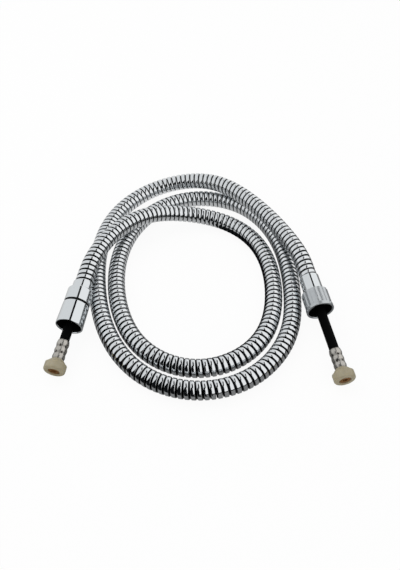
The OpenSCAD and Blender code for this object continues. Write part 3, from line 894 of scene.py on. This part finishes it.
def flange(side, place, back):
    """A thick washer on a short cone, with a recess in front for the core's head."""
    shoulder, front = back + FLANGE_CONE, back + FLANGE_CONE + FLANGE_RIM
    bore_r, floor = NECK_CORE_R + CORE_PLAY, front - RECESS_DEPTH - CORE_PLAY
    return turned(
        side + "_moulded_flange", place,
        rounded([
            (bore_r, back), (bore_r, floor), (RECESS_R, floor), (RECESS_R, front, 0.35),
            (FLANGE_R, front, 2.1), (FLANGE_R, shoulder, 1.3),
            (CONE_R, shoulder - CONE_STEP, 0.2), (FLANGE_BACK_R, back, 0.2),
        ], steps=7),
        [milky_plastic], steps=120,
    )


left_flange, right_flange = [flange(*end) for end in ENDS]

# %% [markdown]
# ## Pieces that stay as they come
# The bushes in the ends of the casing, the clips that hold the nuts on and the slip ring in the
# right nut are plain turned rings, and the CAD model has them right. So they keep their exact
# shapes, and only take their finishes.

# %% Finishes of the pieces that stay
for node, finish in (
    ("left_casing_bush", spring_steel), ("right_casing_bush", spring_steel),
    ("left_clip", spring_steel), ("right_clip", spring_steel), ("right_slip_ring", ivory_nylon),
):
    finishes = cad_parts[node].data.materials
    finishes.clear()
    finishes.append(finish)
    print(node, "takes", finish.name)

# %% [markdown]
# ## Table, walls and light
# The table is a plain pale sheet and the walls are white. To a camera white should be white, so
# the world and the table also shine by themselves on the rays that come straight from it, while
# the rest of the light stays at a level at which a colour looks as it is written. Stronger lamps
# would make them white too, but would wash out the object. A mirror sees the white room, and sees
# the sheet's glow graded as if a lamp at the back left lit it: grey in front, and lighter towards
# the lamp. That grading is painted light and shade.

# %% White room
def seen_directly(tree):
    """1 on rays from the camera, from mirrors and through glass, and 0 on the rest."""
    ray = add_node(tree, "ShaderNodeLightPath").outputs
    mirror = add_node(
        tree, "ShaderNodeMath", {0: ray["Is Glossy Ray"], 1: ray["Is Transmission Ray"]},
        operation="MAXIMUM",
    )
    return add_node(
        tree, "ShaderNodeMath", {0: ray["Is Camera Ray"], 1: mirror}, operation="MAXIMUM"
    )


FILL_LIGHT = 0.72
world = bpy.data.worlds.new("white_room")
bpy.context.scene.world = world
world.use_nodes = True
room = world.node_tree
background = room.nodes["Background"]
background.inputs["Color"].default_value = colour("#ffffff")
strength = add_node(
    room, "ShaderNodeMapRange", {"Value": seen_directly(room), "To Min": FILL_LIGHT, "To Max": 1.0}
)
room.links.new(strength.outputs[0], background.inputs["Strength"])
print("light from the room:", FILL_LIGHT)

# %% Table
TABLE_HALF = 3.0
OWN_WHITE = 0.93  # share of the table's white that shadows do not touch
LIGHTER_WAY = (-0.6, 0.8, 0)  # towards the back left, where the nearest lamp hangs
SHADE_TO_LIGHT = (0, 120 * MM)  # the stretch along that way where the sheet grows lighter
# Painted light and shade: the sheet's glow in mirrors runs from grey in front to lighter at the
# back left.
PAINTED_LIGHT_IN_MIRRORS = (0.2, 0.75)
paper = bpy.data.materials.new("pale_table_paper")
paper.use_nodes = True
sheet = paper.node_tree
sheet.nodes.clear()
lit = add_node(sheet, "ShaderNodeBsdfDiffuse", {"Color": colour("#ffffff")})
to_camera = add_node(sheet, "ShaderNodeLightPath").outputs["Is Camera Ray"]
spot = add_node(sheet, "ShaderNodeTexCoord").outputs["Object"]
along = add_node(sheet, "ShaderNodeVectorMath", {0: spot, 1: LIGHTER_WAY}, operation="DOT_PRODUCT")
painted_light_in_mirrors = add_node(
    sheet, "ShaderNodeMapRange",
    {"Value": along.outputs["Value"], "From Min": SHADE_TO_LIGHT[0], "From Max": SHADE_TO_LIGHT[1],
     "To Min": PAINTED_LIGHT_IN_MIRRORS[0], "To Max": PAINTED_LIGHT_IN_MIRRORS[1]},
)
white = add_node(
    sheet, "ShaderNodeMapRange", {"Value": to_camera, "To Min": painted_light_in_mirrors, "To Max": 1.0}
)
glow = add_node(sheet, "ShaderNodeEmission", {"Color": colour("#ffffff"), "Strength": white})
share = add_node(
    sheet, "ShaderNodeMath", {0: seen_directly(sheet), 1: OWN_WHITE}, operation="MULTIPLY"
)
both = add_node(sheet, "ShaderNodeMixShader", {0: share, 1: lit, 2: glow})
add_node(sheet, "ShaderNodeOutputMaterial", {"Surface": both})


def sheet_object(name, points, faces, finish):
    """A thin sheet of the studio, through points in metres."""
    mesh = bpy.data.meshes.new(name)
    mesh.from_pydata(points, [], faces)
    mesh.materials.append(finish)
    made = put(name, mesh)
    return tell(made)


sheet_object(
    "pale_table",
    [(x * TABLE_HALF, y * TABLE_HALF, 0) for x, y in ((-1, -1), (1, -1), (1, 1), (-1, 1))],
    [(0, 1, 2, 3)], paper,
)

# %% [markdown]
# ## The light tent: painted reflections
# Chrome shows its room, so in a studio it stands in a white light tent. Here that tent is painted:
# glowing sheets that only mirrors see, which paint dark and grey reflections on the chrome. The
# left side is a little darker than the right, the top has a seam, the foot shows the dark room in
# front and beside it, and the camera looks in through a dark opening. The opening's dark goes on
# over the table as painted shade, and a dark card inside the loops is painted shade as well. Tones
# on the world's background would be quicker, but would show the same from every spot on the object.
# Here each dark or grey part of the tent is a sheet at its own distance, in front of the white
# room, and only mirrors see it, so it takes no light from the object.

# %% Painted reflections and rules of the tent
def painted_reflection_glow(name, tone):
    """An even glow of one tone, for sheets that only mirrors see: a painted reflection."""
    made = bpy.data.materials.new(name)
    made.use_nodes = True
    made.node_tree.nodes.clear()
    shine = add_node(made.node_tree, "ShaderNodeEmission", {"Color": colour(tone)})
    add_node(made.node_tree, "ShaderNodeOutputMaterial", {"Surface": shine})
    return made


# Painted reflections: each sheet glows in one tone, and only mirrors see it.
dark_painted_reflection = painted_reflection_glow("dark_painted_reflection_glow", "#121315")
grey_painted_reflection = painted_reflection_glow("grey_painted_reflection_glow", "#e9eaeb")
TENT_R, OPENING_R = 1.3, 0.6
AZIMUTHS, HEIGHTS = 180, 90
# The opening shows in mirrors that are turned left and tilted back by between these angles.
OPENING_FACING = (radians(-4), radians(52))
OPENING_TILT = (radians(28), radians(71))
OPENING_SLANT, SLANT_FROM = 1.1, radians(12)  # its upper edge slants down further left
FOOT_HEIGHT, FOOT_SIDE = radians(10), radians(100)
SEAM_X, SEAM_WIDTH, SEAM_HEIGHT, SEAM_Y = 0.09, 0.26, 1.0, (-0.3, 1.4)


def is_opening(way):
    facing = way + TO_CAMERA
    turned_left = atan2(-facing.x, -facing.y)
    tilt = facing.angle(Vector((0, 0, 1)))
    top = OPENING_TILT[0] + OPENING_SLANT * max(0, turned_left - SLANT_FROM)
    return OPENING_FACING[0] < turned_left < OPENING_FACING[1] and top < tilt < OPENING_TILT[1]


def is_foot(way):
    low_in_front = asin(way.z) < FOOT_HEIGHT and abs(atan2(way.x, -way.y)) < FOOT_SIDE
    return low_in_front and not is_opening(way)


def is_left(way):
    return way.x < SEAM_X / SEAM_HEIGHT and not is_foot(way) and not is_opening(way)


# %% Dome and seam of the tent
def tent_part(name, wanted, finish, radius=TENT_R):
    """The cells of the tent's dome for which a rule on their direction holds."""
    points, faces = [], []
    for i in range(AZIMUTHS):
        for j in range(HEIGHTS):
            ways = []
            for a, b in ((0, 0), (1, 0), (1, 1), (0, 1)):
                azimuth, height = 2 * pi * (i + a) / AZIMUTHS, pi / 2 * (j + b) / HEIGHTS
                flat = cos(height)
                ways.append(Vector((flat * sin(azimuth), flat * cos(azimuth), sin(height))))
            if wanted(sum(ways, Vector()).normalized()):
                faces.append(range(len(points), len(points) + 4))
                points += [radius * way for way in ways]
    return sheet_object(name, points, [tuple(face) for face in faces], finish)


tent = [
    tent_part("tent_opening", is_opening, dark_painted_reflection, OPENING_R),
    tent_part("tent_foot", is_foot, dark_painted_reflection),
    tent_part("tent_left_side", is_left, grey_painted_reflection),
    sheet_object(
        "tent_seam",
        [(SEAM_X + side * SEAM_WIDTH / 2, y, SEAM_HEIGHT)
         for side, y in ((-1, SEAM_Y[0]), (1, SEAM_Y[0]), (1, SEAM_Y[1]), (-1, SEAM_Y[1]))],
        [(0, 1, 2, 3)], dark_painted_reflection,
    ),
]

# %% Shade and card on the table
# A black sheet on the table that only mirrors see: painted shade in front of the loops.
LIFT = 0.5 * MM  # off the table, so that no two sheets share a place
SHADE_AZIMUTHS = (-8, 66)  # degrees from the front towards the left
SHADE_EDGE = (130 * MM, 160 * MM)  # half width and half depth of the oval where it begins
shade_points = []
for degree in range(SHADE_AZIMUTHS[0], SHADE_AZIMUTHS[1] + 1, 2):
    left, front = sin(radians(degree)), cos(radians(degree))
    shade_points.append((-SHADE_EDGE[0] * left, -SHADE_EDGE[1] * front, LIFT))
    shade_points.append((-TENT_R * left, -TENT_R * front, LIFT))
shade_faces = [(i, i + 1, i + 3, i + 2) for i in range(0, len(shade_points) - 2, 2)]
tent.append(sheet_object("tent_shade", shade_points, shade_faces, dark_painted_reflection))

# The card's middle and half sizes. It is painted shade, which darkens the inner edges of the loops
# on the right.
CARD_X, CARD_Y, CARD_WIDE, CARD_DEEP, CARD_CORNERS = 26 * MM, -5 * MM, 34 * MM, 78 * MM, 48
card_points = []
for i in range(CARD_CORNERS):
    angle = 2 * pi * i / CARD_CORNERS
    card_points.append((CARD_X + CARD_WIDE * cos(angle), CARD_Y + CARD_DEEP * sin(angle), LIFT))
tent.append(sheet_object("tent_card", card_points, [tuple(range(CARD_CORNERS))], dark_painted_reflection))
for mirror_only in tent:
    mirror_only.visible_camera = False
    mirror_only.visible_diffuse = False
    mirror_only.visible_shadow = False

# %% [markdown]
# ## One soft lamp
# A lamp in a wide box hangs at the back left. A small lamp would throw hard shadows and prick
# bright dots on the chrome; a wide one only leans the light a little, and mirrors don't show it.

# %% Lamp
KEY_SIZE, KEY_WATTS, KEY_PLACE = 0.8, 2.4, Vector((-0.45, 0.35, 0.95))
key_data = bpy.data.lights.new("soft_key", "AREA")
key_data.shape = "SQUARE"
key_data.size = KEY_SIZE
key_data.energy = KEY_WATTS
key = put("soft_key", key_data)
key.location = KEY_PLACE
key.rotation_euler = (-KEY_PLACE).to_track_quat("-Z", "Y").to_euler()
key.visible_glossy = False
key.visible_camera = False
bpy.context.scene.view_settings.view_transform = "Standard"
print("lamp:", KEY_WATTS, "W,", round(KEY_PLACE.length, 2), "m away")

# %% [markdown]
# ## Which piece moves with what
# Each piece rides on the body that the CAD model gives it. The nuts spin, the right one also
# slides on its sleeve, and the tube ends slide home into the casing. There the rubber between the
# sleeve and the ferrule goes inside. A piece that slid in whole would run through the bend of the
# casing, so the drawn-out rubber stays on the fixed body, and each end only gets a mesh of its own.

# %% Bodies, slots and what each piece stands for
PIECES = (
    (casing, "root", "stainless_casing", "hose_casing"),
    (inner_tube, "root", "black_rubber", "inner_tube"),
    (left_sleeve, "root", "chromed_brass", "left_sleeve"),
    (right_sleeve, "root", "chromed_brass", "right_sleeve"),
    (swivel_ring, "root", "black_nylon", "left_swivel_ring"),
    (left_nut, "left_nut", "chromed_brass", "left_nut"),
    (right_nut, "right_nut", "satin_chrome", "right_nut"),
    (left_tube_end, "root", "black_rubber", "left_tube_end"),
    (right_tube_end, "root", "black_rubber", "right_tube_end"),
    (left_ferrule, "left_tube", "crimped_ferrule", "left_ferrule"),
    (right_ferrule, "right_tube", "crimped_ferrule", "right_ferrule"),
    (left_core, "left_tube", "brass_core", "left_core"),
    (right_core, "right_tube", "brass_core", "right_core"),
    (left_flange, "left_tube", "moulded_flange", "left_flange"),
    (right_flange, "right_tube", "moulded_flange", "right_flange"),
)
for piece, body, slot, node in PIECES:
    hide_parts(node)
    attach(piece, body)

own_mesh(left_tube_end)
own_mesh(right_tube_end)
print(len(PIECES), "pieces made,", len(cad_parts) - len(PIECES), "CAD pieces kept")
